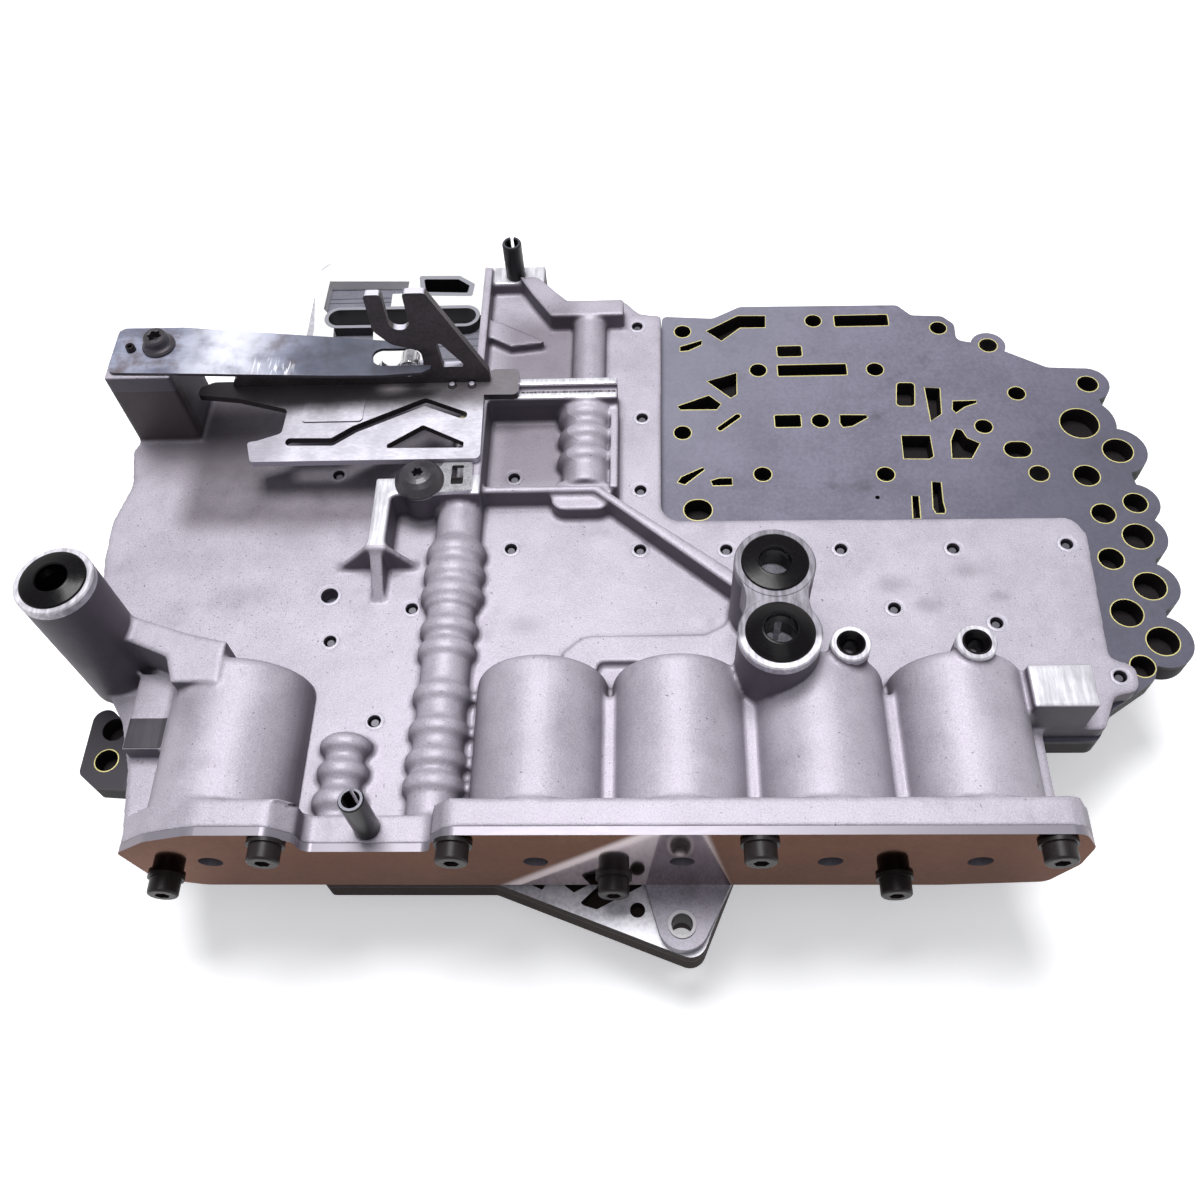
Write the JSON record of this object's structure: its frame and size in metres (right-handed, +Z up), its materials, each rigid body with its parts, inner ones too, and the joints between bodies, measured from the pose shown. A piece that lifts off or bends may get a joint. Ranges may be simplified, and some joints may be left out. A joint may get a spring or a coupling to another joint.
{
  "type": "automatic transmission valve body",
  "caption": "Hydraulic control unit: cast valve body with accumulators under a steel cover, selector plate with detent, oil ports, lying on its solenoid module.",
  "frame": {"origin": "middle of the solenoid module's underside, on which the part rests", "axes": "+X along the accumulator cover to the right, +Y away from it, +Z up"},
  "size_m": [0.3646, 0.3005, 0.1154],
  "materials": {
    "casting": "satin",
    "plate_steel": "satin",
    "transfer": "satin",
    "frame_metal": "satin",
    "lug_steel": "satin",
    "carrier": "satin",
    "module": "matte",
    "cover_steel": "polished",
    "bolt_steel": "satin",
    "dark_steel": "matte",
    "bright_steel": "satin",
    "selector_steel": "satin",
    "leaf_steel": "polished",
    "yellow_zinc": "satin",
    "seal_rubber": "matte",
    "white_plastic": "satin",
    "grey_plastic": "satin",
    "valve_aluminium": "satin",
    "seal_plastic": "matte"
  },
  "bodies": {
    "body": {"valve_body_casting": "casting", "separator_plate": "plate_steel", "transfer_plate": "transfer", "module_frame": "frame_metal", "module_carrier": "carrier", "mounting_lug": "lug_steel", "lug_bush": "bright_steel", "solenoid_module": "module", "accumulator_cover": "cover_steel", "cover_bolts": "bolt_steel", "assembly_screws": "bolt_steel", "check_balls": "bright_steel", "sensor_board": "grey_plastic", "range_sensor_frame": "white_plastic", "casting_tube_boss": "casting", "casting_port_boss": "casting", "short_valve_plug": "valve_aluminium", "long_valve_plug": "valve_aluminium", "short_valve_spring": "bright_steel", "long_valve_spring": "bright_steel", "detent_spring": "leaf_steel", "roller_pin": "bright_steel", "detent_screw": "yellow_zinc", "spring_locating_pin": "dark_steel", "keeper_bracket": "dark_steel", "plate_screw": "yellow_zinc", "front_port_seal": "seal_rubber", "rear_port_seal": "seal_rubber", "tube_seal": "seal_rubber", "small_port_seals": "seal_rubber", "front_roll_pin": "dark_steel", "rear_roll_pin": "dark_steel", "accumulator_spring_1": "bright_steel", "accumulator_spring_2": "bright_steel", "accumulator_spring_3": "bright_steel", "accumulator_spring_4": "bright_steel", "accumulator_spring_5": "bright_steel"},
    "selector": {"selector_plate": "selector_steel", "shift_fork": "dark_steel", "fork_welds": "dark_steel"},
    "manual_valve": {"manual_valve": "valve_aluminium", "manual_valve_pin": "yellow_zinc"},
    "short_valve": {"short_valve": "valve_aluminium"},
    "long_valve": {"long_valve": "valve_aluminium"},
    "detent_roller": {"detent_roller": "bright_steel"},
    "piston_1": {"accumulator_piston_1": "valve_aluminium", "piston_seal_1": "seal_plastic"},
    "piston_2": {"accumulator_piston_2": "valve_aluminium", "piston_seal_2": "seal_plastic"},
    "piston_3": {"accumulator_piston_3": "valve_aluminium", "piston_seal_3": "seal_plastic"},
    "piston_4": {"accumulator_piston_4": "valve_aluminium", "piston_seal_4": "seal_plastic"},
    "piston_5": {"accumulator_piston_5": "valve_aluminium", "piston_seal_5": "seal_plastic"}
  },
  "joints": [
    {"name": "selector_slide", "type": "slide", "parent": "body", "child": "selector", "axis": [1, 0, 0], "range_m": [0, 0.035], "deforming": ["detent_spring", "detent_roller", "roller_pin"]},
    {"name": "manual_valve_slide", "type": "slide", "parent": "body", "child": "manual_valve", "axis": [0, 1, 0], "range_m": [-0.0045, 0.0065]},
    {"name": "detent_roller_spin", "type": "hinge", "parent": "body", "child": "detent_roller", "pos_m": [-0.0526, 0.07785, 0.0828], "axis": [0, 1, 0], "continuous": true},
    {"name": "short_valve_slide", "type": "slide", "parent": "body", "child": "short_valve", "axis": [0, -1, 0], "range_m": [0, 0.006], "stiffness_N_per_m": 600, "springref_m": -0.004, "deforming": ["short_valve_spring"]},
    {"name": "long_valve_slide", "type": "slide", "parent": "body", "child": "long_valve", "axis": [0, 1, 0], "range_m": [0, 0.007], "stiffness_N_per_m": 600, "springref_m": -0.004, "deforming": ["long_valve_spring"]},
    {"name": "accumulator_1_slide", "type": "slide", "parent": "body", "child": "piston_1", "axis": [0, -1, 0], "range_m": [0, 0.02], "stiffness_N_per_m": 3000, "springref_m": -0.006, "deforming": ["accumulator_spring_1"]},
    {"name": "accumulator_2_slide", "type": "slide", "parent": "body", "child": "piston_2", "axis": [0, -1, 0], "range_m": [0, 0.02], "stiffness_N_per_m": 3000, "springref_m": -0.006, "deforming": ["accumulator_spring_2"]},
    {"name": "accumulator_3_slide", "type": "slide", "parent": "body", "child": "piston_3", "axis": [0, -1, 0], "range_m": [0, 0.02], "stiffness_N_per_m": 3000, "springref_m": -0.006, "deforming": ["accumulator_spring_3"]},
    {"name": "accumulator_4_slide", "type": "slide", "parent": "body", "child": "piston_4", "axis": [0, -1, 0], "range_m": [0, 0.02], "stiffness_N_per_m": 3000, "springref_m": -0.006, "deforming": ["accumulator_spring_4"]},
    {"name": "accumulator_5_slide", "type": "slide", "parent": "body", "child": "piston_5", "axis": [0, -1, 0], "range_m": [0, 0.02], "stiffness_N_per_m": 3000, "springref_m": -0.006, "deforming": ["accumulator_spring_5"]}
  ],
  "couplings": [
    {"joint": "manual_valve_slide", "follows": "selector_slide", "ratio": -0.123}
  ]
}
